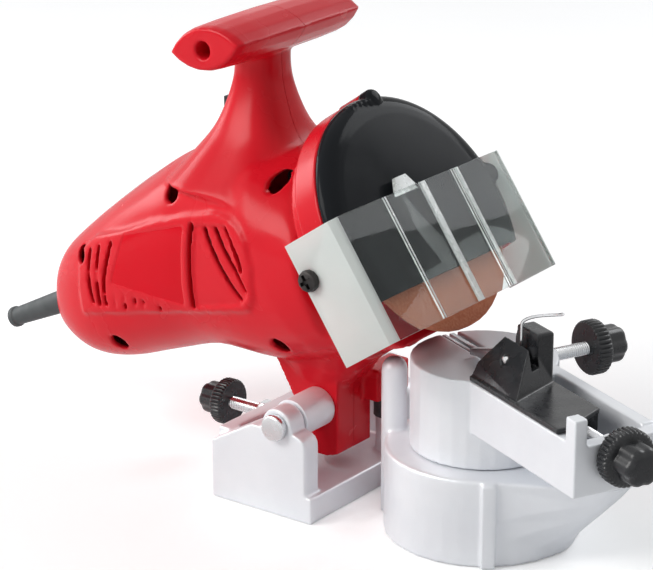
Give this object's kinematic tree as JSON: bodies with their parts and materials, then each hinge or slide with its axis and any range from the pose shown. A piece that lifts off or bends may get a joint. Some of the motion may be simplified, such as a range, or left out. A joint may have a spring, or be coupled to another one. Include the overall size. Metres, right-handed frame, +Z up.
{
  "type": "electric chainsaw sharpener",
  "caption": "Bench chain sharpener: tilted grinding head on a swing pivot above a turning vise with chain stop, knobs, clear shield and T-bar handle.",
  "frame": {"origin": "on the bench under the pivot end of the base, on the middle plane of the base's underside", "axes": "+X forward to the chain vise, +Y to the far side, +Z up"},
  "size_m": [0.3901, 0.1331, 0.2168],
  "materials": {
    "adjust_knob": "black moulded, satin",
    "adjust_screw": "bright zinc plated",
    "armature": "copper",
    "base_casting": "bright cast and tumbled",
    "brush_far": "pressed carbon",
    "brush_near": "pressed carbon",
    "chain_rail": "ground steel",
    "clamp_jaw": "ground steel",
    "clamp_knob": "black moulded, satin",
    "clamp_screw": "bright zinc plated",
    "commutator": "copper",
    "cord_boot": "matt moulded",
    "cord_clamp": "black moulded, satin",
    "depth_knob": "black moulded, satin",
    "depth_locknut": "bright zinc plated",
    "depth_screw": "bright zinc plated",
    "disc_screw": "bright zinc plated",
    "eye_shield": "clear bent polycarbonate",
    "front_bearing": "bright zinc plated",
    "grinding_disc": "rough bonded abrasive",
    "guard_back": "black moulded, satin",
    "guard_cover": "black moulded, glossy",
    "guard_screw_1": "bright zinc plated",
    "guard_screw_2": "bright zinc plated",
    "guard_screw_3": "bright zinc plated",
    "housing_left": "glossy red moulded",
    "housing_right": "glossy red moulded",
    "housing_screw_1": "bright zinc plated",
    "housing_screw_2": "bright zinc plated",
    "housing_screw_3": "bright zinc plated",
    "housing_screw_4": "bright zinc plated",
    "housing_screw_5": "bright zinc plated",
    "housing_screw_6": "bright zinc plated",
    "inner_flange": "ground steel",
    "lock_knob": "black moulded, satin",
    "lock_washer": "bright zinc plated",
    "magnet_lower": "sintered, matt",
    "magnet_upper": "sintered, matt",
    "motor_can": "ground steel",
    "motor_end_cap": "black moulded, satin",
    "motor_shaft": "ground steel",
    "outer_washer": "bright zinc plated",
    "pawl_lift_wire": "bright zinc plated",
    "pawl_pin": "bright zinc plated",
    "pivot_clip": "ground steel",
    "pivot_pin": "bright zinc plated",
    "rear_bearing": "bright zinc plated",
    "rectifier_board": "laminate with green lacquer",
    "rest_buffer": "matt moulded",
    "return_spring": "ground steel",
    "shield_screw_far": "bright zinc plated",
    "shield_screw_near": "bright zinc plated",
    "spring_sleeve": "bright cast and tumbled",
    "stop_carriage": "black moulded, satin",
    "stop_pawl": "ground steel",
    "switch_body": "black moulded, satin",
    "switch_rocker": "black moulded, satin",
    "terminal_block": "black moulded, satin",
    "turntable_stud": "bright zinc plated",
    "vise_body": "bright cast and tumbled"
  },
  "bodies": {
    "base": {"base_casting": "base_casting", "rest_buffer": "rest_buffer", "pivot_pin": "pivot_pin", "pivot_clip": "pivot_clip", "spring_sleeve": "spring_sleeve", "return_spring": "return_spring", "depth_locknut": "depth_locknut", "lock_washer": "lock_washer"},
    "depth_screw": {"depth_screw": "depth_screw"},
    "depth_knob": {"depth_knob": "depth_knob"},
    "vise": {"vise_body": "vise_body", "chain_rail": "chain_rail", "turntable_stud": "turntable_stud"},
    "lock_knob": {"lock_knob": "lock_knob"},
    "clamp": {"clamp_screw": "clamp_screw", "clamp_jaw": "clamp_jaw"},
    "clamp_knob": {"clamp_knob": "clamp_knob"},
    "chain_stop_screw": {"adjust_screw": "adjust_screw", "adjust_knob": "adjust_knob"},
    "carriage": {"stop_carriage": "stop_carriage", "pawl_pin": "pawl_pin"},
    "pawl": {"stop_pawl": "stop_pawl", "pawl_lift_wire": "pawl_lift_wire"},
    "head": {"housing_left": "housing_left", "housing_right": "housing_right", "guard_back": "guard_back", "guard_cover": "guard_cover", "housing_screw_1": "housing_screw_1", "housing_screw_2": "housing_screw_2", "housing_screw_3": "housing_screw_3", "housing_screw_4": "housing_screw_4", "housing_screw_5": "housing_screw_5", "housing_screw_6": "housing_screw_6", "guard_screw_1": "guard_screw_1", "guard_screw_2": "guard_screw_2", "guard_screw_3": "guard_screw_3", "shield_screw_near": "shield_screw_near", "shield_screw_far": "shield_screw_far", "motor_can": "motor_can", "motor_end_cap": "motor_end_cap", "magnet_upper": "magnet_upper", "magnet_lower": "magnet_lower", "front_bearing": "front_bearing", "rear_bearing": "rear_bearing", "brush_near": "brush_near", "brush_far": "brush_far", "switch_body": "switch_body", "rectifier_board": "rectifier_board", "terminal_block": "terminal_block", "cord_clamp": "cord_clamp", "cord_boot": "cord_boot"},
    "shield": {"eye_shield": "eye_shield"},
    "spindle": {"grinding_disc": "grinding_disc", "inner_flange": "inner_flange", "outer_washer": "outer_washer", "disc_screw": "disc_screw", "motor_shaft": "motor_shaft", "armature": "armature", "commutator": "commutator"},
    "rocker": {"switch_rocker": "switch_rocker"}
  },
  "joints": [
    {"name": "head_swing", "type": "hinge", "parent": "base", "child": "head", "pos_m": [0.0058, 0, 0.0419], "axis": [0, 1, 0], "range_deg": [0, 6], "stiffness_Nm_per_rad": 0.6, "springref_deg": -51.57},
    {"name": "disc_spin", "type": "hinge", "parent": "head", "child": "spindle", "pos_m": [0.04955, 0, 0.13343], "axis": [0.8241, 0, 0.5664], "continuous": true},
    {"name": "shield_tilt", "type": "hinge", "parent": "head", "child": "shield", "pos_m": [0.03887, 0, 0.12196], "axis": [0, -1, 0], "range_deg": [-6, 6]},
    {"name": "switch_rock", "type": "hinge", "parent": "head", "child": "rocker", "pos_m": [-0.0455, 0, 0.1655], "axis": [0, 1, 0], "range_deg": [-8, 8]},
    {"name": "turntable_swivel", "type": "hinge", "parent": "base", "child": "vise", "pos_m": [0.0848, 0, 0.0397], "axis": [0, 0, 1], "range_deg": [-10, 55]},
    {"name": "lock_knob_turn", "type": "hinge", "parent": "vise", "child": "lock_knob", "pos_m": [0.0848, 0, 0.023], "axis": [0, 0, 1], "range_deg": [0, 180]},
    {"name": "depth_screw_slide", "type": "slide", "parent": "base", "child": "depth_screw", "axis": [-1, 0, 0], "range_m": [-0.002, 0.003]},
    {"name": "depth_knob_turn", "type": "hinge", "parent": "depth_screw", "child": "depth_knob", "pos_m": [-0.0535, 0, 0.025], "axis": [-1, 0, 0], "range_deg": [-720, 1080]},
    {"name": "clamp_slide", "type": "slide", "parent": "vise", "child": "clamp", "axis": [0.4226, 0.9063, 0], "range_m": [-0.0006, 0.0012]},
    {"name": "clamp_knob_turn", "type": "hinge", "parent": "clamp", "child": "clamp_knob", "pos_m": [0.10669, 0.04695, 0.0737], "axis": [0.4226, 0.9063, 0], "range_deg": [-216, 432]},
    {"name": "chain_stop_knob_turn", "type": "hinge", "parent": "vise", "child": "chain_stop_screw", "pos_m": [0.17906, -0.04395, 0.0725], "axis": [0.9063, -0.4226, 0], "range_deg": [-1440, 720]},
    {"name": "carriage_slide", "type": "slide", "parent": "vise", "child": "carriage", "axis": [0.9063, -0.4226, 0], "range_m": [-0.002, 0.004]},
    {"name": "pawl_flip", "type": "hinge", "parent": "carriage", "child": "pawl", "pos_m": [0.11577, -0.01996, 0.0922], "axis": [0.4226, 0.9063, 0], "range_deg": [0, 60]}
  ],
  "couplings": [
    {"joint": "depth_screw_slide", "follows": "depth_knob_turn", "m_per_rad": 0.00015915},
    {"joint": "clamp_slide", "follows": "clamp_knob_turn", "m_per_rad": 0.00015915},
    {"joint": "carriage_slide", "follows": "chain_stop_knob_turn", "m_per_rad": -0.00015915}
  ]
}
